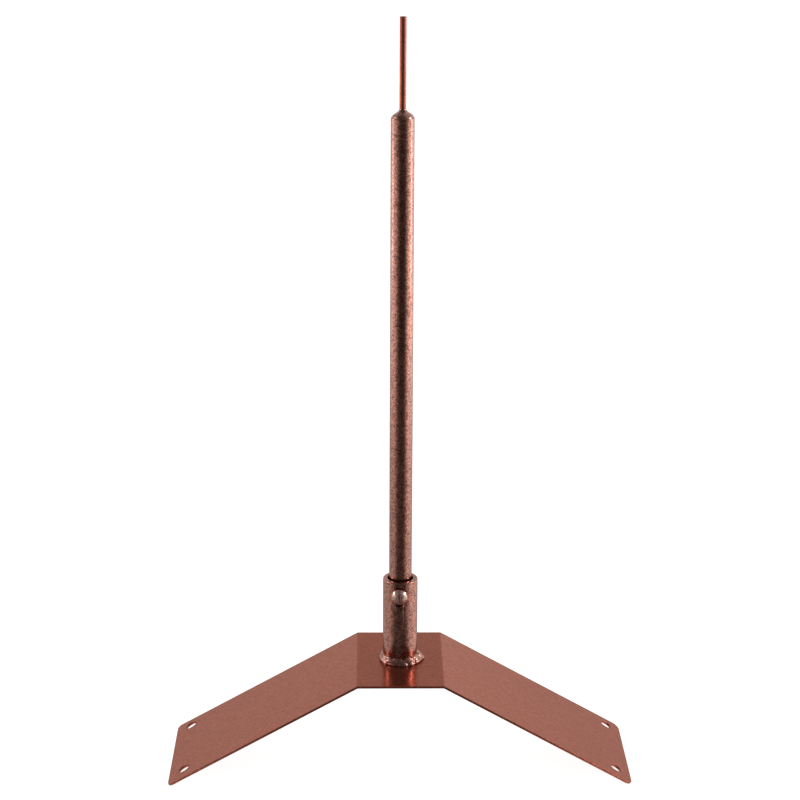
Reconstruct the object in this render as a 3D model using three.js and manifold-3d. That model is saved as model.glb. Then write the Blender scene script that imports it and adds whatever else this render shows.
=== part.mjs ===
import * as THREE from 'three';
import { mergeVertices } from 'three/addons/utils/BufferGeometryUtils.js';
import Module from 'manifold-3d';

// A weathervane's roof mount: a steel strip bent to straddle a roof ridge, a short socket collar
// welded to its flat middle, and a mast clamped in the collar, which carries a thin spindle pin.
// All lengths are in millimetres. Up is +Z, and the strip runs along X.

// Saddle plate, a strip of sheet steel with two bends
const sheetThickness = 1.9;
const stripDepth = 101.6;
const flatLength = 66.4;
const wingLength = 167.7;
const wingSlope = THREE.MathUtils.degToRad(29.6);
const bendInsideRadius = 2.1;
const cornerRadius = 6.5;

// Screw holes, two near the end of each wing
const holeDiameter = 9;
const holeFromEnd = 13.5;
const holeFromBackEdge = 11.6;
const holeFromFrontEdge = 14.6;

// Mast, a steel tube that stands on the plate inside the collar
const mastDiameter = 17.44;
const mastWall = 2.3;
const mastHeight = 425.4;
const mastEdgeRadius = 0.6;

// Spindle pin, and the weld that plugs the mast's mouth and rises round the pin like a bell's side
const pinDiameter = 5;
const pinReach = 72.3;
const pinChamfer = 0.4;
const plugDepth = 6;
const bellHeight = 6.2;

// Socket collar, a tube that the mast fits loosely
const socketClearance = 1.2;
const collarWall = 3.42;
const collarHeight = 68.3;
const collarLipRadius = 0.9;
const collarTurn = THREE.MathUtils.degToRad(3.4);

// Weld bead round the collar's foot
const beadLeg = 4.3;
const beadHeight = 4.6;
const beadRipples = 13;
const beadRippleShare = 0.1;
const beadLobeShare = 0.22;
const beadLobeAngle = THREE.MathUtils.degToRad(8);
const beadLobeWidth = 0.3;

// Clamp screw, a slotted round head on a shank that pushes the mast against the collar's back
const screwDiameter = 6.2;
const screwBelowRim = 10.7;
const headDiameter = 12.4;
const headHeight = 4.2;
const headRimHeight = 0.7;
const slotWidth = 1.7;
const slotDepth = 2.4;
const slotLean = THREE.MathUtils.degToRad(4);

// Gaps that separate pieces keep
const mastRestGap = 0.25;
const threadGap = 0.3;
const tipGap = 0.25;
const headGap = 0.8;

// Smoothness of the round shapes
const roundSegments = 64;
const smallSegments = 32;
const bendSteps = 6;
const arcSteps = 6;
const bellSteps = 10;
const cutterMargin = 5;

const mastRadius = mastDiameter / 2;
const mastBoreRadius = mastRadius - mastWall;
const pinRadius = pinDiameter / 2;
const collarBoreRadius = mastRadius + socketClearance;
const collarRadius = collarBoreRadius + collarWall;
const screwRadius = screwDiameter / 2;
const headRadius = headDiameter / 2;
const standHeight = wingLength * Math.sin(wingSlope) + sheetThickness * Math.cos(wingSlope);

// A faceted bore is narrower across its flats than across its corners
const boreAcrossFlats = collarBoreRadius * Math.cos(Math.PI / roundSegments);
const mastShift = boreAcrossFlats - mastRadius - mastRestGap;

const wasm = await Module();
wasm.setup();

function toSolid(geometry) {
  const bare = geometry.clone();
  bare.deleteAttribute('normal');
  bare.deleteAttribute('uv');
  const merged = mergeVertices(bare);
  const corners = [];
  for (let i = 0; i < merged.index.count; i += 3) {
    const [a, b, c] = [0, 1, 2].map((k) => merged.index.getX(i + k));
    if (a !== b && b !== c && c !== a) corners.push(a, b, c);
  }
  return new wasm.Manifold(new wasm.Mesh({
    numProp: 3,
    vertProperties: Float32Array.from(merged.attributes.position.array),
    triVerts: Uint32Array.from(corners),
  }));
}

function toGeometry(solid) {
  const mesh = solid.getMesh();
  const geometry = new THREE.BufferGeometry();
  geometry.setAttribute('position', new THREE.BufferAttribute(mesh.vertProperties, 3));
  geometry.setIndex(new THREE.BufferAttribute(mesh.triVerts, 1));
  geometry.computeVertexNormals();
  return geometry;
}

function subtractAll(geometry, cutters) {
  const cut = cutters.reduce((solid, cutter) => solid.subtract(toSolid(cutter)), toSolid(geometry));
  return toGeometry(cut);
}

// Points of an arc about a centre, both ends included, as [x, y] pairs
function arcPoints(centreX, centreY, radius, fromAngle, toAngle, steps) {
  return Array.from({ length: steps + 1 }, (_, i) => {
    const angle = fromAngle + (toAngle - fromAngle) * (i / steps);
    return [centreX + radius * Math.cos(angle), centreY + radius * Math.sin(angle)];
  });
}

// A turned piece about the Z axis from [radius, height] pairs, outside wall upwards
function turned(profile, segments) {
  const points = profile.map(([radius, height]) => new THREE.Vector2(radius, height));
  return new THREE.LatheGeometry(points, segments).rotateX(Math.PI / 2);
}

// The strip seen from the front: top face over both bends, then back along the underside
function stripProfile() {
  const outsideRadius = bendInsideRadius + sheetThickness;
  const bendCentreX = flatLength / 2 - outsideRadius * Math.tan(wingSlope / 2);
  const topEnd = [
    flatLength / 2 + wingLength * Math.cos(wingSlope),
    -wingLength * Math.sin(wingSlope),
  ];
  const undersideEnd = [
    topEnd[0] - sheetThickness * Math.sin(wingSlope),
    topEnd[1] - sheetThickness * Math.cos(wingSlope),
  ];
  const quarter = Math.PI / 2;
  const bend = (radius) => arcPoints(
    bendCentreX, -outsideRadius, radius, quarter, quarter - wingSlope, bendSteps);
  const topHalf = [...bend(outsideRadius), topEnd];
  const undersideHalf = [...bend(bendInsideRadius), undersideEnd];
  const mirrored = (points) => points.map(([x, z]) => [-x, z]).reverse();
  return [
    ...mirrored(topHalf),
    ...topHalf,
    ...[...undersideHalf].reverse(),
    ...mirrored(undersideHalf).reverse(),
  ];
}

// Moves a cutter from a wing's own frame (down the slope, along the strip's edge, out of the face)
// to its place on the right-hand wing, or on the left-hand one, where a half turn puts it
function onWing(cutter, side) {
  cutter.rotateY(wingSlope);
  cutter.translate(flatLength / 2, 0, 0);
  if (side < 0) cutter.rotateZ(Math.PI);
  return cutter;
}

function holeCutter(side, y) {
  const length = 2 * (sheetThickness + cutterMargin);
  const cutter = new THREE.CylinderGeometry(holeDiameter / 2, holeDiameter / 2, length, smallSegments);
  cutter.rotateX(Math.PI / 2);
  cutter.translate(wingLength - holeFromEnd, side * y, 0);
  return onWing(cutter, side);
}

// What lies outside the quarter circle that rounds a corner of a wing
function cornerCutter(side, edge) {
  const reach = cornerRadius + cutterMargin;
  const shape = new THREE.Shape();
  shape.moveTo(0, cornerRadius);
  arcPoints(0, 0, cornerRadius, Math.PI / 2, 0, arcSteps).slice(1).forEach(([x, y]) => shape.lineTo(x, y));
  shape.lineTo(reach, 0);
  shape.lineTo(reach, reach);
  shape.lineTo(0, reach);
  const depth = 2 * (sheetThickness + cutterMargin);
  const cutter = new THREE.ExtrudeGeometry(shape, { depth, bevelEnabled: false });
  cutter.translate(0, 0, -depth / 2);
  if (edge < 0) cutter.rotateZ(-Math.PI / 2);
  cutter.translate(wingLength - cornerRadius, edge * (stripDepth / 2 - cornerRadius), 0);
  return onWing(cutter, side);
}

function saddlePlate() {
  const outline = new THREE.Shape(stripProfile().map(([x, z]) => new THREE.Vector2(x, z)));
  const strip = new THREE.ExtrudeGeometry(outline, { depth: stripDepth, bevelEnabled: false });
  strip.rotateX(Math.PI / 2);
  strip.translate(0, stripDepth / 2, 0);
  const holeRows = [stripDepth / 2 - holeFromBackEdge, holeFromFrontEdge - stripDepth / 2];
  const cutters = [];
  for (const side of [-1, 1]) {
    for (const y of holeRows) cutters.push(holeCutter(side, y));
    for (const edge of [-1, 1]) cutters.push(cornerCutter(side, edge));
  }
  return subtractAll(strip, cutters);
}

function socketCollar() {
  const lip = arcPoints(
    collarRadius - collarLipRadius, collarHeight - collarLipRadius, collarLipRadius, 0, Math.PI / 2, arcSteps);
  const tube = turned([
    [collarBoreRadius, 0],
    [collarRadius, 0],
    ...lip,
    [collarBoreRadius, collarHeight],
    [collarBoreRadius, 0],
  ], roundSegments);
  const length = collarWall + 2 * cutterMargin;
  const holeRadius = screwRadius + threadGap;
  const hole = new THREE.CylinderGeometry(holeRadius, holeRadius, length, smallSegments);
  hole.translate(0, -(collarBoreRadius + collarWall / 2), collarHeight - screwBelowRim);
  return subtractAll(tube, [hole]);
}

// The bead's size at an angle round the collar: ripples, and one fat lobe where the weld was begun
function beadSwell(angle) {
  const fromLobe = Math.atan2(Math.sin(angle - beadLobeAngle), Math.cos(angle - beadLobeAngle));
  const lobe = beadLobeShare * Math.exp(-((fromLobe / beadLobeWidth) ** 2));
  return 1 + beadRippleShare * Math.cos(beadRipples * angle) + lobe;
}

function collarBead() {
  const face = arcPoints(0, 0, 1, 0, Math.PI / 2, arcSteps)
    .map(([x, z]) => [collarRadius + x * beadLeg, z * beadHeight]);
  const bead = turned([[collarRadius, 0], ...face, [collarRadius, 0]], roundSegments);
  const position = bead.attributes.position;
  for (let i = 0; i < position.count; i += 1) {
    const [x, y, z] = [position.getX(i), position.getY(i), position.getZ(i)];
    const radius = Math.hypot(x, y);
    const swell = beadSwell(Math.atan2(y, x));
    const stretch = (collarRadius + (radius - collarRadius) * swell) / radius;
    position.setXYZ(i, x * stretch, y * stretch, z * swell);
  }
  return bead;
}

function mastTube() {
  const edge = arcPoints(
    mastRadius - mastEdgeRadius, mastHeight - mastEdgeRadius, mastEdgeRadius, 0, Math.PI / 2, arcSteps);
  return turned([
    [mastBoreRadius, 0],
    [mastRadius, 0],
    ...edge,
    [mastBoreRadius, mastHeight],
    [mastBoreRadius, 0],
  ], roundSegments);
}

// Plug and bell in one, with the pin's hole down its middle. The bell's side is half a cosine wave:
// round at the mast's edge and hollow where it meets the pin.
function spindleWeld() {
  const footRadius = mastRadius - mastEdgeRadius;
  const bell = Array.from({ length: bellSteps }, (_, i) => {
    const rise = (i + 1) / bellSteps;
    const inward = (1 - Math.cos(Math.PI * rise)) / 2;
    return [footRadius + (pinRadius - footRadius) * inward, mastHeight + bellHeight * rise];
  });
  return turned([
    [pinRadius, mastHeight - plugDepth],
    [mastBoreRadius, mastHeight - plugDepth],
    [mastBoreRadius, mastHeight],
    [footRadius, mastHeight],
    ...bell,
    [pinRadius, mastHeight - plugDepth],
  ], roundSegments);
}

function spindlePin() {
  const top = mastHeight + pinReach;
  return turned([
    [0, mastHeight - plugDepth],
    [pinRadius, mastHeight - plugDepth],
    [pinRadius, top - pinChamfer],
    [pinRadius - pinChamfer, top],
    [0, top],
  ], roundSegments);
}

// Turned with its tip down and its slot cut along the line that will stand nearly upright,
// then laid over so that the head points to the front
function clampScrew() {
  const headSeat = collarRadius + headGap;
  const tip = mastRadius - mastShift + tipGap;
  const dome = arcPoints(0, 0, 1, 0, Math.PI / 2, 2 * arcSteps).map(([x, z]) => [
    headRadius * x,
    headSeat + headRimHeight + (headHeight - headRimHeight) * z,
  ]);
  dome[dome.length - 1][0] = 0;
  const body = turned([
    [0, tip],
    [screwRadius, tip],
    [screwRadius, headSeat],
    [headRadius, headSeat],
    ...dome,
  ], smallSegments);
  const slot = new THREE.BoxGeometry(slotWidth, headDiameter + cutterMargin, 2 * slotDepth);
  slot.rotateZ(slotLean);
  slot.translate(0, 0, headSeat + headHeight);
  const screw = subtractAll(body, [slot]);
  screw.rotateX(Math.PI / 2);
  screw.translate(0, 0, collarHeight - screwBelowRim);
  return screw;
}

function piece(name, geometry, color, roughness, metalness) {
  const mesh = new THREE.Mesh(geometry, new THREE.MeshStandardMaterial({ color, roughness, metalness }));
  mesh.name = name;
  return mesh;
}

// The whole stands on the low edges of its wings, at height 0
const group = new THREE.Group();
group.position.z = standHeight;
group.add(piece('saddle_plate', saddlePlate(), 0xa16657, 0.3, 0.5));

// The collar was welded on a little turned, so the screw sits left of the middle
const socket = new THREE.Group();
socket.rotation.z = -collarTurn;
socket.add(piece('socket_collar', socketCollar(), 0x9a6252, 0.35, 0.6));
socket.add(piece('collar_weld', collarBead(), 0xa87062, 0.3, 0.6));
socket.add(piece('clamp_screw', clampScrew(), 0xb07c6c, 0.25, 0.7));
group.add(socket);

const mast = new THREE.Group();
mast.position.y = mastShift;
mast.add(piece('mast', mastTube(), 0x8a5546, 0.35, 0.6));
mast.add(piece('spindle_weld', spindleWeld(), 0x9c6656, 0.35, 0.6));
mast.add(piece('spindle_pin', spindlePin(), 0x9a6358, 0.3, 0.6));
socket.add(mast);

export default group;
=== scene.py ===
import math
from functools import partial

import bmesh
import bpy
from mathutils import Matrix, Vector, noise


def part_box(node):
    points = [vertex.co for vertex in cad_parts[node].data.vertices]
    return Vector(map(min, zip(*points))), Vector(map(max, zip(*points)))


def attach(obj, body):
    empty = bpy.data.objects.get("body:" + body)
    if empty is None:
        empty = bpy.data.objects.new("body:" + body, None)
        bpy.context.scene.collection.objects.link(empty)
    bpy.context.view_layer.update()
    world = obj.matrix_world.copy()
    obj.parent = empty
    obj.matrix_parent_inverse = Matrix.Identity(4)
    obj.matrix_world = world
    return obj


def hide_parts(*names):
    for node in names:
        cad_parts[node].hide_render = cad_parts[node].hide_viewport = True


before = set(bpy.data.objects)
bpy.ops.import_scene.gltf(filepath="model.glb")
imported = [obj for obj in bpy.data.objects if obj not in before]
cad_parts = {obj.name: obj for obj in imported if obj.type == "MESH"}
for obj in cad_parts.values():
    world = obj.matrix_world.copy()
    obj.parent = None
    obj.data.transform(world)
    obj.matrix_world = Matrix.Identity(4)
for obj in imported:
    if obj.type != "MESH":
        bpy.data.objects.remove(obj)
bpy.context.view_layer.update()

MM = 0.001

# Edges shorter than this are merged away
SLIVER = 0.01 * MM

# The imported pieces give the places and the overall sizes
plate_low, plate_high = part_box("saddle_plate")
collar_low, collar_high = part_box("socket_collar")
mast_low, mast_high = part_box("mast")
pin_low, pin_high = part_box("spindle_pin")

# Saddle plate
SHEET = 1.9 * MM
STRIP_DEPTH = plate_high.y - plate_low.y
FLAT_TOP = plate_high.z
FLAT_LENGTH = 66.4 * MM
WING_SLOPE = math.radians(29.6)
WING_LENGTH = (plate_high.x - FLAT_LENGTH / 2) / math.cos(WING_SLOPE)
BEND_INSIDE = 2.1 * MM
BEND_MIDDLE = BEND_INSIDE + SHEET / 2
BEND_OUTSIDE = BEND_INSIDE + SHEET
BEND_TANGENT = BEND_OUTSIDE * math.tan(WING_SLOPE / 2)
BEND_START = FLAT_LENGTH / 2 - BEND_TANGENT
BEND_LENGTH = BEND_MIDDLE * WING_SLOPE
BEND_STEPS = 10
BEND_MARGIN = 1.5 * MM
STRIP_HALF_LENGTH = BEND_START + BEND_LENGTH + WING_LENGTH - BEND_TANGENT
CORNER_RADIUS = {1: 6.5 * MM, -1: 4.6 * MM}
HOLE_RADIUS = 4.5 * MM
HOLE_FROM_END = 13.5 * MM
HOLE_FROM_BACK = 11.6 * MM
HOLE_FROM_FRONT = 14.6 * MM
SHEET_EDGE = 0.45 * MM
RIM_RISE = 0.28 * MM

# Socket collar, turned a little about the upright so that the clamp screw sits left of the middle
COLLAR_TURN = math.radians(3.4)
COLLAR_AXIS = (collar_low + collar_high) / 2
COLLAR_RADIUS = 13.34 * MM
COLLAR_BORE = 9.92 * MM
COLLAR_LIP = 0.9 * MM
COLLAR_INNER_LIP = 0.35 * MM
COLLAR_HEIGHT = collar_high.z - FLAT_TOP

# Weld round the collar's foot: a plain fillet under three passes of ripples
BEAD_LEG = 3.2 * MM
BEAD_HEIGHT = 5.8 * MM
BEAD_SINK = 0.3 * MM
BEAD_VOXEL = 0.24 * MM
BEAD_MELT = 22
FILLET_OUT = 0.72
FILLET_UP = 0.85
RIPPLE_JITTER = 0.35 * MM
RIPPLE_STRETCH = {"Min": (0.85, 0.85, 1.7), "Max": (1.05, 1.05, 2.8)}
BEAD_PASSES = (
    {"out": 1.7 * MM, "up": 1.1 * MM, "count": 13, "size": 2.0 * MM, "seed": 4},
    {"out": 0.9 * MM, "up": 2.9 * MM, "count": 12, "size": 1.9 * MM, "seed": 9},
    {"out": 0.1 * MM, "up": 4.4 * MM, "count": 11, "size": 1.7 * MM, "seed": 2},
)

# The bead's width, as a share of the fillet's: all round, more to the right, and more at one lobe
WIDTH_ROUND = 0.95
WIDTH_RIGHTWARD = 0.12
WIDTH_LOBE = 0.5
LOBE_PLACE = math.radians(8)
LOBE_SPREAD = 0.4

# Mast, spindle weld and pin share one axis
MAST_AXIS = (mast_low + mast_high) / 2
MAST_RADIUS = (mast_high.x - mast_low.x) / 2
MAST_BORE = MAST_RADIUS - 2.3 * MM
MAST_EDGE = 0.6 * MM
PIN_RADIUS = (pin_high.x - pin_low.x) / 2
PIN_POLE = 0.05 * PIN_RADIUS
PIN_CHAMFER = 0.4 * MM
PIN_WAVE = 0.07 * MM
PIN_WAVE_LENGTH = 9 * MM
PLUG_DEPTH = mast_high.z - pin_low.z
BELL_HEIGHT = 6.2 * MM
BELL_LUMP = 0.6 * MM
BELL_LUMP_LENGTH = 2.2 * MM

# Clamp screw
SCREW_RADIUS = 3.1 * MM
SCREW_POLE = 0.2 * MM
SCREW_PITCH = 1.27 * MM
THREAD_DEPTH = 0.45 * MM
THREAD_GAP = 0.3 * MM
SCREW_BELOW_RIM = 10.7 * MM
HEAD_RADIUS = 6.2 * MM
HEAD_HEIGHT = 4.2 * MM
HEAD_RIM = 0.5 * MM
HEAD_FULLNESS = 1.5
HEAD_GAP = 0.8 * MM
SLOT_WIDTH = 1.6 * MM
SLOT_DEPTH = 3.0 * MM
SLOT_LEAN = math.radians(4)
SLOT_EDGE = 0.14 * MM
TIP_GAP = 0.25 * MM
SCREW_TIP = MAST_RADIUS - (MAST_AXIS - COLLAR_AXIS).xy.length + TIP_GAP

# Coat
FLOW_SCALE = 4
FLOW_SHARE = 0.15
FLOW_RELIEF = 0.8
DRIFT_SIZE = 45 * MM
DRIFT_SHADE = 0.25
DRIFT_RELIEF = 2.0
GLOSS_SWING = 0.12
LACQUER_ROUGHNESS = 0.06

# How much of the gloss is left at a glancing angle, in red, green and blue
PLAIN_EDGE = (0.75, 0.59, 0.54)
PALE_EDGE = (0.76, 0.62, 0.57)

# Camera, fitted to the photograph: angles in degrees, lens in millimetres, the rest in metres
VIEW_AZIMUTH = math.radians(0.891)
VIEW_ELEVATION = math.radians(17.736)
VIEW_ROLL = math.radians(0.285)
VIEW_DISTANCE = 1.63676
VIEW_TARGET = Vector((-0.000915, 0, 0.211697 + FLAT_TOP))
VIEW_LENS = 98.17

# The studio that the gloss mirrors. Each band has a change of glow, and the share of the dome's
# height where it starts and where it is full.
STUDIO_RADIUS = 8.0
DOME_GLOW = 0.70
DOME_BANDS = ((0.3, 0.06, 0.2), (-0.36, 0.24, 0.46), (-0.34, 0.6, 0.9))
DOME_RIGHT_GLOW = 0.2
DOME_FRONT_DARK = 0.85
FLOOR_NEAR_GLOW = 0.72
FLOOR_FAR_GLOW = 0.58
FLOOR_RIGHT_GLOW = 0.6
FLOOR_FRONT_DARK = 0.88
FLOOR_FAR_FRONT_DARK = 0.09
FLOOR_BACK_DARK = 0.5
STUDIO_LIFT = 1 * MM
STUDIO_POLE = 10 * MM

# The floor that the camera sees, and the lights beside the object
FLOOR_REACH = 20
FLOOR_GREY = 0.25
FLOOR_GLOW = 0.93
SOFTBOX_DISTANCE = 1.6


# Mesh helpers

def finished(name, mesh_data, smooth_below=math.radians(35)):
    """An object of the mesh, shaded smooth except where faces meet at a sharper angle."""
    bm = bmesh.new()
    bm.from_mesh(mesh_data)
    bmesh.ops.recalc_face_normals(bm, faces=bm.faces)
    for face in bm.faces:
        face.smooth = True
    for edge in bm.edges:
        edge.smooth = edge.calc_face_angle(0) < smooth_below
    bm.to_mesh(mesh_data)
    bm.free()
    piece = bpy.data.objects.new(name, mesh_data)
    bpy.context.scene.collection.objects.link(piece)
    return piece


def mesh_of(name, points, faces):
    mesh_data = bpy.data.meshes.new(name)
    mesh_data.from_pydata([tuple(p) for p in points], [], faces)
    return mesh_data


def arc(centre, radius, start, stop, steps):
    """Points on an arc in a plane, both ends included."""
    angles = [start + (stop - start) * i / steps for i in range(steps + 1)]
    return [(centre[0] + radius * math.cos(a), centre[1] + radius * math.sin(a)) for a in angles]


def ring_mesh(name, section, around, closed_section=True):
    """A body of revolution whose section may change on the way: section(angle) gives 3-D points."""
    rows = [section(math.tau * i / around) for i in range(around)]
    size = len(rows[0])
    points = [p for row in rows for p in row]
    faces = []
    for i in range(around):
        j = (i + 1) % around
        for k in range(size if closed_section else size - 1):
            n = (k + 1) % size
            faces.append((i * size + k, j * size + k, j * size + n, i * size + n))
    if not closed_section:
        faces.append([i * size for i in range(around)][::-1])
        faces.append([i * size + size - 1 for i in range(around)])
    return mesh_of(name, points, faces)


def turned(name, profile, axis, around=128, closed_section=True, swell=None):
    """Turns (radius, height) pairs about an upright axis.

    swell(angle, radius, height) gives how far a point moves out.
    """
    def section(angle):
        direction = Vector((math.cos(angle), math.sin(angle), 0))
        row = []
        for radius, height in profile:
            out = radius + (swell(angle, radius, height) if swell else 0)
            row.append(Vector((axis.x, axis.y, 0)) + direction * out + Vector((0, 0, height)))
        return row
    return ring_mesh(name, section, around, closed_section)


def noise_at(angle, spread, along):
    """Smooth noise round an upright axis, read on a circle of radius spread at the height along."""
    return noise.noise(Vector((math.cos(angle) * spread, math.sin(angle) * spread, along)))


def cut(piece, cutter):
    modifier = piece.modifiers.new("cut", "BOOLEAN")
    modifier.operation = "DIFFERENCE"
    modifier.solver = "EXACT"
    modifier.object = cutter


def applied(piece):
    """The piece with its modifiers worked into a plain mesh, and their cutters removed."""
    cutters = [modifier.object for modifier in piece.modifiers if modifier.type == "BOOLEAN"]
    graph = bpy.context.evaluated_depsgraph_get()
    result = bpy.data.meshes.new_from_object(piece.evaluated_get(graph))
    piece.modifiers.clear()
    piece.data = result
    for cutter in cutters:
        bpy.data.objects.remove(cutter)
    return piece


def cleaned(piece):
    """The piece without the slivers and the folded faces that a cut or a trim leaves."""
    bm = bmesh.new()
    bm.from_mesh(piece.data)
    bmesh.ops.triangulate(bm, faces=bm.faces)
    bmesh.ops.remove_doubles(bm, verts=bm.verts, dist=SLIVER)
    bmesh.ops.dissolve_degenerate(bm, edges=bm.edges, dist=SLIVER)
    by_corners = {}
    for face in bm.faces:
        by_corners.setdefault(frozenset(face.verts), []).append(face)
    folded = [face for twins in by_corners.values() if len(twins) > 1 for face in twins]
    bmesh.ops.delete(bm, geom=folded, context="FACES")
    bm.to_mesh(piece.data)
    bm.free()
    return piece


# Node trees

class Value:
    """A socket's output. Python's operators on it add Math nodes to its tree."""

    def __init__(self, tree, socket):
        self.tree = tree
        self.socket = socket

    def math(self, operation, first, second):
        return self.tree.node("ShaderNodeMath", {"operation": operation}, {0: first, 1: second})[0]

    def __add__(self, other):
        return self.math("ADD", self, other)

    def __radd__(self, other):
        return self.math("ADD", other, self)

    def __sub__(self, other):
        return self.math("SUBTRACT", self, other)

    def __rsub__(self, other):
        return self.math("SUBTRACT", other, self)

    def __mul__(self, other):
        return self.math("MULTIPLY", self, other)

    def __rmul__(self, other):
        return self.math("MULTIPLY", other, self)

    def __truediv__(self, other):
        return self.math("DIVIDE", self, other)


class Tree:
    """A node tree, and the one method that adds any node to it."""

    def __init__(self, tree):
        self.tree = tree

    def node(self, kind, settings, values):
        made = self.tree.nodes.new(kind)
        for name, value in settings.items():
            setattr(made, name, value)
        for key, value in values.items():
            if isinstance(value, Value):
                self.tree.links.new(value.socket, made.inputs[key])
            else:
                made.inputs[key].default_value = value
        return [Value(self, output) for output in made.outputs]

    def mix(self, factor, first, second):
        return self.node("ShaderNodeMix", {"data_type": "RGBA"}, {0: factor, 6: first, 7: second})[2]

    def step(self, value, low, high):
        settings = {"interpolation_type": "SMOOTHSTEP"}
        return self.node("ShaderNodeMapRange", settings, {0: value, 1: low, 2: high})[0]

    def speckle(self, size, detail=2.0, distortion=0.0, roughness=0.5):
        """Noise whose lumps are about size across, from 0 to 1."""
        point = self.node("ShaderNodeTexCoord", {}, {})[3]
        values = {"Vector": point, "Scale": 1 / size, "Detail": detail, "Roughness": roughness,
                  "Distortion": distortion}
        return self.node("ShaderNodeTexNoise", {}, values)[0]


def geometry_tree(name, sizes):
    """A Geometry Nodes tree with a geometry input, then the named sizes, each a socket type by name."""
    group = bpy.data.node_groups.new(name, "GeometryNodeTree")
    group.interface.new_socket("Geometry", in_out="INPUT", socket_type="NodeSocketGeometry")
    for size, kind in sizes.items():
        group.interface.new_socket(size, in_out="INPUT", socket_type=kind)
    group.interface.new_socket("Geometry", in_out="OUTPUT", socket_type="NodeSocketGeometry")
    tree = Tree(group)
    given = dict(zip(["Geometry", *sizes], tree.node("NodeGroupInput", {}, {})))
    return group, tree, given


def add_and_paint(tree, given, part):
    """Ends a Geometry Nodes tree: the given geometry and the part as one real mesh, in one material."""
    joined = tree.node("GeometryNodeJoinGeometry", {}, {0: given["Geometry"]})[0]
    tree.tree.links.new(part.socket, joined.socket.node.inputs[0])
    real = tree.node("GeometryNodeRealizeInstances", {}, {"Geometry": joined})[0]
    values = {"Geometry": real, "Material": given["Finish"]}
    painted = tree.node("GeometryNodeSetMaterial", {}, values)[0]
    tree.node("NodeGroupOutput", {}, {0: painted})


def grown(piece, group, sizes):
    """Adds the tree to the piece as a modifier, its inputs set by their sockets' identifiers."""
    modifier = piece.modifiers.new(group.name, "NODES")
    modifier.node_group = group
    for socket in group.interface.items_tree:
        if socket.in_out == "INPUT" and socket.name in sizes:
            modifier[socket.identifier] = sizes[socket.name]


# Saddle plate

def bent(u, v, w):
    """A point of the flat strip, from its middle: along it, across it and out of it, after the bends."""
    side = math.copysign(1, u)
    beyond = abs(u) - BEND_START
    turn = min(max(beyond / BEND_MIDDLE, 0), WING_SLOPE)
    straight = max(beyond - BEND_LENGTH, 0)
    x = min(abs(u), BEND_START) + (BEND_MIDDLE + w) * math.sin(turn) + straight * math.cos(turn)
    z = (BEND_MIDDLE + w) * math.cos(turn) - BEND_MIDDLE - straight * math.sin(turn)
    return Vector((side * x, v, FLAT_TOP - SHEET / 2 + z))


def strip_outline(inset):
    """The flat strip's rounded rectangle, drawn inside its edge by inset."""
    half_v = STRIP_DEPTH / 2
    points = []
    for quarter, (su, sv) in enumerate(((1, 1), (-1, 1), (-1, -1), (1, -1))):
        radius = CORNER_RADIUS[su]
        centre = (su * (STRIP_HALF_LENGTH - radius), sv * (half_v - radius))
        start = quarter * math.pi / 2
        points += arc(centre, radius - inset, start, start + math.pi / 2, 12)
    return points


def hole_places():
    u = STRIP_HALF_LENGTH - HOLE_FROM_END
    rows = (STRIP_DEPTH / 2 - HOLE_FROM_BACK, HOLE_FROM_FRONT - STRIP_DEPTH / 2)
    return [(side * u, v) for side in (-1, 1) for v in rows]


def hole_outline(centre, inset):
    return arc(centre, HOLE_RADIUS + inset, 0, math.tau, 48)[:-1]


def edge_profile(rise):
    """(inset, height) pairs over a rounded sheet edge, top to bottom, with a raised rim on top."""
    half = SHEET / 2
    top = [(4 * SHEET_EDGE, half), (3 * SHEET_EDGE, half), (2 * SHEET_EDGE, half + 0.6 * rise)]
    over = arc((SHEET_EDGE, half - SHEET_EDGE + rise), SHEET_EDGE, math.pi / 2, math.pi, 6)
    under = arc((SHEET_EDGE, SHEET_EDGE - half), SHEET_EDGE, math.pi, 1.5 * math.pi, 6)
    bottom = [(3 * SHEET_EDGE, -half), (4 * SHEET_EDGE, -half)]
    return top + over + under + bottom


def skirt(bm, outline, profile):
    """Lofts a boundary of the strip through its edge profile, and gives its top and bottom loops."""
    rings = [[bm.verts.new((u, v, w)) for u, v in outline(inset)] for inset, w in profile]
    for upper, lower in zip(rings, rings[1:]):
        for i in range(len(upper)):
            j = (i + 1) % len(upper)
            bm.faces.new((upper[i], upper[j], lower[j], lower[i]))
    loops = []
    for ring in (rings[0], rings[-1]):
        loops.append([bm.edges.get((ring[i], ring[(i + 1) % len(ring)])) for i in range(len(ring))])
    return loops


def saddle_plate():
    bm = bmesh.new()
    boundaries = [skirt(bm, strip_outline, edge_profile(0))]
    for centre in hole_places():
        boundaries.append(skirt(bm, partial(hole_outline, centre), edge_profile(RIM_RISE)))
    for level in (0, 1):
        edges = [edge for loops in boundaries for edge in loops[level]]
        bmesh.ops.triangle_fill(bm, use_beauty=True, edges=edges)
    lines = [BEND_START + BEND_LENGTH * i / BEND_STEPS for i in range(BEND_STEPS + 1)]
    lines += [BEND_START - BEND_MARGIN, BEND_START + BEND_LENGTH + BEND_MARGIN]
    for side in (-1, 1):
        for line in lines:
            everything = bm.verts[:] + bm.edges[:] + bm.faces[:]
            plane = {"plane_co": (side * line, 0, 0), "plane_no": (1, 0, 0)}
            bmesh.ops.bisect_plane(bm, geom=everything, **plane)
    for vert in bm.verts:
        vert.co = bent(*vert.co)
    mesh_data = bpy.data.meshes.new("saddle_plate_skin")
    bm.to_mesh(mesh_data)
    bm.free()
    return finished("saddle_plate_skin", mesh_data)


# Turned pieces

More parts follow.
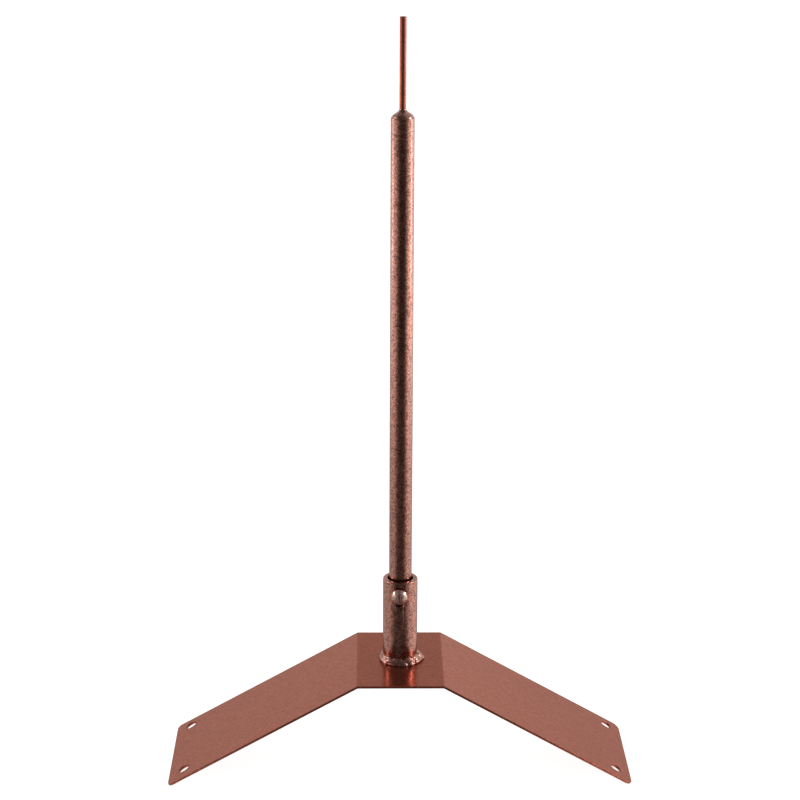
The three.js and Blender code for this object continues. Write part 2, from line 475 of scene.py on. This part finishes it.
def socket_collar():
    top = FLAT_TOP + COLLAR_HEIGHT
    inner = (COLLAR_BORE + COLLAR_INNER_LIP, top - COLLAR_INNER_LIP)
    profile = [(COLLAR_BORE, FLAT_TOP), (COLLAR_RADIUS, FLAT_TOP)]
    profile += arc((COLLAR_RADIUS - COLLAR_LIP, top - COLLAR_LIP), COLLAR_LIP, 0, math.pi / 2, 8)
    profile += arc(inner, COLLAR_INNER_LIP, math.pi / 2, math.pi, 5)
    tube = finished("socket_collar_skin", turned("socket_collar_skin", profile, COLLAR_AXIS))
    hole_radius = SCREW_RADIUS + THREAD_GAP
    side = [(hole_radius, 0), (hole_radius, 2 * COLLAR_RADIUS)]
    drill = finished("tapped_hole", turned("tapped_hole", side, Vector(), 64, closed_section=False))
    drill.data.transform(screw_seat())
    cut(tube, drill)
    return applied(tube)


def mast_tube():
    top = mast_high.z
    profile = [(MAST_BORE, mast_low.z), (MAST_RADIUS, mast_low.z)]
    profile += arc((MAST_RADIUS - MAST_EDGE, top - MAST_EDGE), MAST_EDGE, 0, math.pi / 2, 8)
    profile += [(MAST_BORE, top)]
    return finished("mast_skin", turned("mast_skin", profile, MAST_AXIS))


def spindle_pin():
    """The pin, a little wavy along its side."""
    low, top = pin_low.z, pin_high.z
    steps = 60
    profile = [(PIN_POLE, low)]
    profile += [(PIN_RADIUS, low + (top - PIN_CHAMFER - low) * i / steps) for i in range(steps + 1)]
    profile += [(PIN_RADIUS - PIN_CHAMFER, top), (PIN_POLE, top)]

    def swell(angle, radius, height):
        if radius < PIN_RADIUS:
            return 0
        return PIN_WAVE * (noise_at(angle, 0.4, height / PIN_WAVE_LENGTH) - 0.5)
    mesh_data = turned("spindle_pin_skin", profile, MAST_AXIS, 64, closed_section=False, swell=swell)
    return finished("spindle_pin_skin", mesh_data)


def spindle_weld():
    """The plug in the mast's mouth and the bell round the pin, whose side is half a cosine wave."""
    foot = MAST_RADIUS - MAST_EDGE
    top = mast_high.z
    steps = 28
    bell = []
    for i in range(1, steps + 1):
        inward = (1 - math.cos(math.pi * i / steps)) / 2
        bell.append((foot + (PIN_RADIUS - foot) * inward, top + BELL_HEIGHT * i / steps))
    plug = [(PIN_RADIUS, top - PLUG_DEPTH), (MAST_BORE, top - PLUG_DEPTH), (MAST_BORE, top)]
    profile = plug + [(foot, top)] + bell

    def swell(angle, radius, height):
        if height <= top or height >= top + BELL_HEIGHT:
            return 0
        fade = math.sin(math.pi * (height - top) / BELL_HEIGHT)
        return BELL_LUMP * fade * noise_at(angle, 1.7, height / BELL_LUMP_LENGTH)
    mesh_data = turned("spindle_weld_skin", profile, MAST_AXIS, swell=swell)
    return finished("spindle_weld_skin", mesh_data)


# Weld bead

def bead_swell(angle):
    """The bead's width at an angle round the collar: slim at the left, with one fat lobe at the right."""
    from_lobe = math.atan2(math.sin(angle - LOBE_PLACE), math.cos(angle - LOBE_PLACE))
    lobe = math.exp(-((from_lobe / LOBE_SPREAD) ** 2))
    return WIDTH_ROUND + WIDTH_RIGHTWARD * math.cos(angle) + WIDTH_LOBE * lobe


def ripple_tree():
    """Balls drawn out along a ring, each placed and sized a little differently."""
    sizes = {"Ring Radius": "NodeSocketFloat", "Ring Height": "NodeSocketFloat", "Count": "NodeSocketInt",
             "Ripple Size": "NodeSocketFloat", "Seed": "NodeSocketInt", "Finish": "NodeSocketMaterial"}
    group, tree, given = geometry_tree("weld_ripples", sizes)
    ring = tree.node("GeometryNodeCurvePrimitiveCircle", {"mode": "RADIUS"}, {
        "Resolution": given["Count"], "Radius": given["Ring Radius"]})[0]
    lift = tree.node("ShaderNodeCombineXYZ", {}, {2: given["Ring Height"]})[0]
    jitter = tree.node("FunctionNodeRandomValue", {"data_type": "FLOAT_VECTOR"}, {
        "Min": (-RIPPLE_JITTER,) * 3, "Max": (RIPPLE_JITTER,) * 3, "Seed": given["Seed"]})[0]
    shift = tree.node("ShaderNodeVectorMath", {"operation": "ADD"}, {0: lift, 1: jitter})[0]
    placed = tree.node("GeometryNodeSetPosition", {}, {"Geometry": ring, "Offset": shift})[0]
    ball = tree.node("GeometryNodeMeshIcoSphere", {}, {"Radius": 1.0, "Subdivisions": 3})[0]
    along = tree.node("GeometryNodeInputTangent", {}, {})[0]
    aim = tree.node("FunctionNodeAlignRotationToVector", {"axis": "Z"}, {"Vector": along})[0]
    stretch = tree.node("FunctionNodeRandomValue", {"data_type": "FLOAT_VECTOR"}, {
        **RIPPLE_STRETCH, "Seed": given["Seed"]})[0]
    scale = tree.node("ShaderNodeVectorMath", {"operation": "SCALE"}, {
        0: stretch, "Scale": given["Ripple Size"]})[0]
    balls = tree.node("GeometryNodeInstanceOnPoints", {}, {
        "Points": placed, "Instance": ball, "Rotation": aim, "Scale": scale})[0]
    add_and_paint(tree, given, balls)
    return group


def collar_bead(material):
    """A fillet and its ripples, grown together, then trimmed to the collar's side and the plate's top."""
    def section(angle):
        direction = Vector((math.cos(angle), math.sin(angle), 0))
        row = [direction * (COLLAR_RADIUS - BEAD_SINK) - Vector((0, 0, BEAD_SINK))]
        for x, z in arc((0, 0), 1, 0, math.pi / 2, 12):
            out = COLLAR_RADIUS + x * FILLET_OUT * BEAD_LEG
            row.append(direction * out + Vector((0, 0, z * FILLET_UP * BEAD_HEIGHT)))
        return row
    piece = finished("collar_weld_skin", ring_mesh("collar_weld_skin", section, around=160))
    ripples = ripple_tree()
    for weld_pass in BEAD_PASSES:
        grown(piece, ripples, {
            "Ring Radius": COLLAR_RADIUS + weld_pass["out"],
            "Ring Height": weld_pass["up"],
            "Count": weld_pass["count"],
            "Ripple Size": weld_pass["size"],
            "Seed": weld_pass["seed"],
            "Finish": material,
        })
    fuse = piece.modifiers.new("fuse", "REMESH")
    fuse.mode = "VOXEL"
    fuse.voxel_size = BEAD_VOXEL
    fuse.use_smooth_shade = True
    melt = piece.modifiers.new("melt", "SMOOTH")
    melt.factor = 0.5
    melt.iterations = BEAD_MELT
    applied(piece)
    centre = Vector((COLLAR_AXIS.x, COLLAR_AXIS.y, FLAT_TOP))
    for vert in piece.data.vertices:
        out = vert.co.xy.length
        width = max(out - COLLAR_RADIUS, 0) * bead_swell(math.atan2(vert.co.y, vert.co.x))
        trimmed = vert.co.xy * ((COLLAR_RADIUS + width) / out)
        vert.co = centre + Vector((trimmed.x, trimmed.y, max(vert.co.z, 0)))
    return cleaned(piece)


# Clamp screw

def screw_seat():
    """Lays a piece that was made upright over, so that it points to the front at the screw's height."""
    lay_over = Matrix.Rotation(math.pi / 2, 4, "X")
    turn = Matrix.Rotation(-COLLAR_TURN, 4, "Z")
    height = FLAT_TOP + COLLAR_HEIGHT - SCREW_BELOW_RIM
    lift = Matrix.Translation((COLLAR_AXIS.x, COLLAR_AXIS.y, height))
    return lift @ turn @ lay_over


def thread_tree():
    """A ridge wound round the screw's shank."""
    sizes = {"Shank Radius": "NodeSocketFloat", "Tip": "NodeSocketFloat", "Length": "NodeSocketFloat",
             "Pitch": "NodeSocketFloat", "Depth": "NodeSocketFloat", "Finish": "NodeSocketMaterial"}
    group, tree, given = geometry_tree("screw_thread", sizes)
    radius = given["Shank Radius"] - given["Depth"]
    coil = tree.node("GeometryNodeCurveSpiral", {}, {
        "Resolution": 48, "Rotations": given["Length"] / given["Pitch"], "Start Radius": radius,
        "End Radius": radius, "Height": given["Length"]})[0]
    crest = tree.node("GeometryNodeCurvePrimitiveCircle", {"mode": "RADIUS"}, {
        "Resolution": 4, "Radius": given["Depth"]})[0]
    upright = tree.node("GeometryNodeSetCurveNormal", {"mode": "Z_UP"}, {"Curve": coil})[0]
    ridge = tree.node("GeometryNodeCurveToMesh", {}, {
        "Curve": upright, "Profile Curve": crest, "Fill Caps": True})[0]
    lift = tree.node("ShaderNodeCombineXYZ", {}, {2: given["Tip"]})[0]
    placed = tree.node("GeometryNodeSetPosition", {}, {"Geometry": ridge, "Offset": lift})[0]
    add_and_paint(tree, given, placed)
    return group


def slot_cutter(bottom, top):
    """A bar as wide as the slot, from the slot's bottom to above the head."""
    x, y = SLOT_WIDTH / 2, 1.5 * HEAD_RADIUS
    square = [(-x, -y), (x, -y), (x, y), (-x, y)]
    corners = [(*corner, z) for z in (bottom, top) for corner in square]
    sides = [(0, 1, 2, 3), (4, 5, 6, 7), (0, 1, 5, 4), (1, 2, 6, 5), (2, 3, 7, 6), (3, 0, 4, 7)]
    cutter = finished("slot_cutter", mesh_of("slot_cutter", corners, sides))
    cutter.data.transform(Matrix.Rotation(SLOT_LEAN, 4, "Z"))
    return cutter


def clamp_screw(material):
    """The screw, made upright with its head on top, then laid over into its seat."""
    seat = COLLAR_RADIUS + HEAD_GAP
    core = SCREW_RADIUS - THREAD_DEPTH
    profile = [(SCREW_POLE, SCREW_TIP), (core, SCREW_TIP), (core, seat), (HEAD_RADIUS, seat)]
    steps = 22
    for i in range(steps):
        out = 1 - i / steps
        rise = math.cos(math.pi / 2 * out ** HEAD_FULLNESS)
        profile.append((HEAD_RADIUS * out, seat + HEAD_RIM + (HEAD_HEIGHT - HEAD_RIM) * rise))
    profile.append((SCREW_POLE, seat + HEAD_HEIGHT))
    mesh_data = turned("clamp_screw_skin", profile, Vector(), 96, closed_section=False)
    body = finished("clamp_screw_skin", mesh_data)
    cut(body, slot_cutter(seat + HEAD_HEIGHT - SLOT_DEPTH, seat + 2 * HEAD_HEIGHT))
    edge = body.modifiers.new("edge", "BEVEL")
    edge.width = SLOT_EDGE
    edge.segments = 3
    edge.limit_method = "ANGLE"
    edge.angle_limit = math.radians(40)
    grown(body, thread_tree(), {
        "Shank Radius": SCREW_RADIUS,
        "Tip": SCREW_TIP + THREAD_DEPTH,
        "Length": seat - SCREW_TIP - 2 * THREAD_DEPTH,
        "Pitch": SCREW_PITCH,
        "Depth": THREAD_DEPTH,
        "Finish": material,
    })
    applied(body)
    body.data.transform(screw_seat())
    return cleaned(body)


# Materials

def coat(name, dark, light, vein_size, vein_height, roughness, contrast, lacquer, metallic, edge_tint):
    """Copper-coloured hammered powder coat: fine veins in its relief, colour and gloss.

    dark and light are the metal's colours between and on the veins, and contrast is how soft the
    change is. lacquer is the share of the surface under a clear, uncoloured gloss.
    """
    material = bpy.data.materials.new(name)
    material.use_nodes = True
    material.node_tree.nodes.clear()
    shader = Tree(material.node_tree)
    veins = shader.speckle(vein_size, detail=2.0, distortion=1.0, roughness=0.55)
    flow = shader.speckle(FLOW_SCALE * vein_size, detail=1.0, distortion=0.6)
    drift = shader.speckle(DRIFT_SIZE, detail=1.0)
    pattern = (1 - FLOW_SHARE) * veins + FLOW_SHARE * flow
    pale = shader.step(pattern, 0.5 - contrast, 0.5 + contrast)
    tone = shader.mix(pale, (*dark, 1), (*light, 1))
    colour = shader.mix(DRIFT_SHADE * drift, tone, (*dark, 1))
    relief = veins + flow * FLOW_RELIEF + drift * DRIFT_RELIEF
    bump = shader.node("ShaderNodeBump", {}, {
        "Strength": 1.0, "Distance": vein_height, "Height": relief})[0]
    surface = shader.node("ShaderNodeBsdfPrincipled", {}, {
        "Base Color": colour,
        "Roughness": roughness + GLOSS_SWING * (0.5 - veins),
        "Metallic": metallic,
        "Specular Tint": (*edge_tint, 1),
        "Coat Weight": lacquer,
        "Coat Roughness": LACQUER_ROUGHNESS,
        "Normal": bump,
    })[0]
    shader.node("ShaderNodeOutputMaterial", {}, {"Surface": surface})
    return material


plate_coat = coat(
    "plate_coat", dark=(0.257, 0.063, 0.033), light=(0.373, 0.100, 0.061),
    vein_size=1.8 * MM, vein_height=0.035 * MM, roughness=0.22, contrast=0.15,
    lacquer=0.25, metallic=0.88, edge_tint=PLAIN_EDGE)
hammered_coat = coat(
    "hammered_coat", dark=(0.15, 0.042, 0.024), light=(0.62, 0.26, 0.185),
    vein_size=1.25 * MM, vein_height=0.09 * MM, roughness=0.17, contrast=0.12,
    lacquer=0.9, metallic=0.98, edge_tint=PALE_EDGE)
weld_coat = coat(
    "weld_coat", dark=(0.26, 0.098, 0.070), light=(0.54, 0.26, 0.20),
    vein_size=2.0 * MM, vein_height=0.02 * MM, roughness=0.28, contrast=0.2,
    lacquer=0.9, metallic=0.97, edge_tint=PALE_EDGE)
screw_coat = coat(
    "screw_coat", dark=(0.26, 0.12, 0.09), light=(0.62, 0.38, 0.31),
    vein_size=1.8 * MM, vein_height=0.12 * MM, roughness=0.16, contrast=0.15,
    lacquer=0.8, metallic=0.8, edge_tint=PALE_EDGE)


# The object

def place(piece, node, material):
    piece.data.materials.clear()
    piece.data.materials.append(material)
    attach(piece, "root")
    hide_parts(node)


place(saddle_plate(), "saddle_plate", plate_coat)
place(socket_collar(), "socket_collar", hammered_coat)
place(collar_bead(weld_coat), "collar_weld", weld_coat)
place(mast_tube(), "mast", hammered_coat)
place(spindle_weld(), "spindle_weld", weld_coat)
place(spindle_pin(), "spindle_pin", plate_coat)
place(clamp_screw(screw_coat), "clamp_screw", screw_coat)


# Studio

def camera():
    across = Vector((math.cos(VIEW_AZIMUTH), -math.sin(VIEW_AZIMUTH), 0))
    forward = Vector((
        math.sin(VIEW_AZIMUTH) * math.cos(VIEW_ELEVATION),
        math.cos(VIEW_AZIMUTH) * math.cos(VIEW_ELEVATION),
        -math.sin(VIEW_ELEVATION),
    ))
    upward = across.cross(forward)
    right = math.cos(VIEW_ROLL) * across + math.sin(VIEW_ROLL) * upward
    top = math.cos(VIEW_ROLL) * upward - math.sin(VIEW_ROLL) * across
    data = bpy.data.cameras.new("camera")
    data.sensor_width = 36
    data.lens = VIEW_LENS
    data.clip_start = 0.05
    data.clip_end = 100
    eye = bpy.data.objects.new("camera", data)
    eye.matrix_world = Matrix.Translation(VIEW_TARGET - VIEW_DISTANCE * forward) @ Matrix((
        (right.x, top.x, -forward.x, 0),
        (right.y, top.y, -forward.y, 0),
        (right.z, top.z, -forward.z, 0),
        (0, 0, 0, 1),
    ))
    bpy.context.scene.collection.objects.link(eye)
    bpy.context.scene.camera = eye


def staged(name, mesh_data, material):
    prop = bpy.data.objects.new(name, mesh_data)
    prop.data.materials.append(material)
    bpy.context.scene.collection.objects.link(prop)
    return prop


def floor():
    """A plain white floor that glows a little, so that it shows as evenly white."""
    material = bpy.data.materials.new("floor")
    material.use_nodes = True
    surface = material.node_tree.nodes["Principled BSDF"]
    surface.inputs["Base Color"].default_value = (FLOOR_GREY, FLOOR_GREY, FLOOR_GREY, 1)
    surface.inputs["Roughness"].default_value = 0.9
    surface.inputs["Specular IOR Level"].default_value = 0.0
    surface.inputs["Emission Color"].default_value = (1, 1, 1, 1)
    surface.inputs["Emission Strength"].default_value = FLOOR_GLOW
    corners = [(x * FLOOR_REACH, y * FLOOR_REACH, 0) for x, y in ((-1, -1), (1, -1), (1, 1), (-1, 1))]
    staged("floor", mesh_of("floor", corners, [(0, 1, 2, 3)]), material).visible_glossy = False


def reflected_studio():
    """What the gloss mirrors: a pale studio that is dark on the camera's side and dimmer far behind.

    Only glossy rays see it. Its lower part lies on the floor, the rest is a dome. front and right run
    from -1 to 1 with the direction, and far from 0 to 1 with the distance on the floor.
    """
    material = bpy.data.materials.new("reflected_studio")
    material.use_nodes = True
    material.node_tree.nodes.clear()
    shader = Tree(material.node_tree)
    point = shader.node("ShaderNodeTexCoord", {}, {})[3]
    x, y, z = shader.node("ShaderNodeSeparateXYZ", {}, {0: point})
    level = shader.node("ShaderNodeCombineXYZ", {}, {0: x, 1: y})[0]
    reach = shader.node("ShaderNodeVectorMath", {"operation": "LENGTH"}, {0: level})[1]
    front = (0 - y) / reach
    right = x / reach
    height = z / STUDIO_RADIUS
    far = shader.step(reach, 0.5, 1.6)
    front_dark = FLOOR_FRONT_DARK + FLOOR_FAR_FRONT_DARK * far
    floor_glow = 1 - shader.step(front, 0.2, 1.0) * front_dark
    floor_glow = floor_glow * (1 - FLOOR_BACK_DARK * shader.step(0 - front, 0.5, 1.0))
    floor_glow = floor_glow * (FLOOR_NEAR_GLOW + FLOOR_FAR_GLOW * far)
    floor_glow = floor_glow * (1 + FLOOR_RIGHT_GLOW * shader.step(right, 0.4, 0.95))
    dome_glow = DOME_GLOW
    for change, low, high in DOME_BANDS:
        dome_glow = dome_glow + change * shader.step(height, low, high)
    to_the_right = shader.step(right, 0.1, 0.33) * shader.step(height, 0.16, 0.22)
    dome_glow = dome_glow + DOME_RIGHT_GLOW * to_the_right
    dome_glow = dome_glow * (1 - shader.step(front, -0.1, 0.8) * DOME_FRONT_DARK)
    above = shader.step(z, 0.002, 0.02)
    glow = floor_glow * (1 - above) + dome_glow * above
    light = shader.node("ShaderNodeEmission", {}, {"Color": (1, 1, 1, 1), "Strength": glow})[0]
    shader.node("ShaderNodeOutputMaterial", {}, {"Surface": light})
    dome = arc((0, 0), STUDIO_RADIUS, 0, math.pi / 2, 16)[:-1]
    profile = [(out, up + STUDIO_LIFT) for out, up in dome] + [(STUDIO_POLE, STUDIO_RADIUS)]
    shell = turned("reflected_studio", profile, Vector(), 64, closed_section=False)
    prop = staged("reflected_studio", shell, material)
    prop.visible_camera = False
    prop.visible_diffuse = False
    prop.visible_shadow = False
    prop.visible_transmission = False


def softbox(name, azimuth, height, width, tall, radiance):
    """An upright soft light beside the object. Azimuth 0 is the camera's side, 90 degrees the right."""
    data = bpy.data.lights.new(name, "AREA")
    data.shape = "RECTANGLE"
    data.size = width
    data.size_y = tall
    data.energy = radiance * math.pi * width * tall
    lamp = bpy.data.objects.new(name, data)
    angle = math.radians(azimuth)
    lamp.location = (SOFTBOX_DISTANCE * math.sin(angle), -SOFTBOX_DISTANCE * math.cos(angle), height)
    lamp.rotation_mode = "QUATERNION"
    lamp.rotation_quaternion = (Vector((0, 0, height)) - lamp.location).to_track_quat("-Z", "Y")
    lamp.visible_camera = False
    bpy.context.scene.collection.objects.link(lamp)


def sky():
    world = bpy.data.worlds.new("studio")
    bpy.context.scene.world = world
    world.use_nodes = True
    background = world.node_tree.nodes["Background"]
    background.inputs["Color"].default_value = (1, 1, 1, 1)
    background.inputs["Strength"].default_value = 1.0
    world.cycles_visibility.glossy = False


bpy.context.scene.view_settings.view_transform = "Standard"
camera()
sky()
floor()
reflected_studio()
softbox("left_low_softbox", azimuth=-106, height=0.19, width=0.8, tall=0.28, radiance=1.3)
softbox("left_high_softbox", azimuth=-94, height=0.95, width=0.35, tall=0.7, radiance=8.0)
softbox("right_low_softbox", azimuth=97, height=0.19, width=0.3, tall=0.28, radiance=4.5)
softbox("right_high_softbox", azimuth=84, height=0.97, width=0.35, tall=0.7, radiance=14.0)
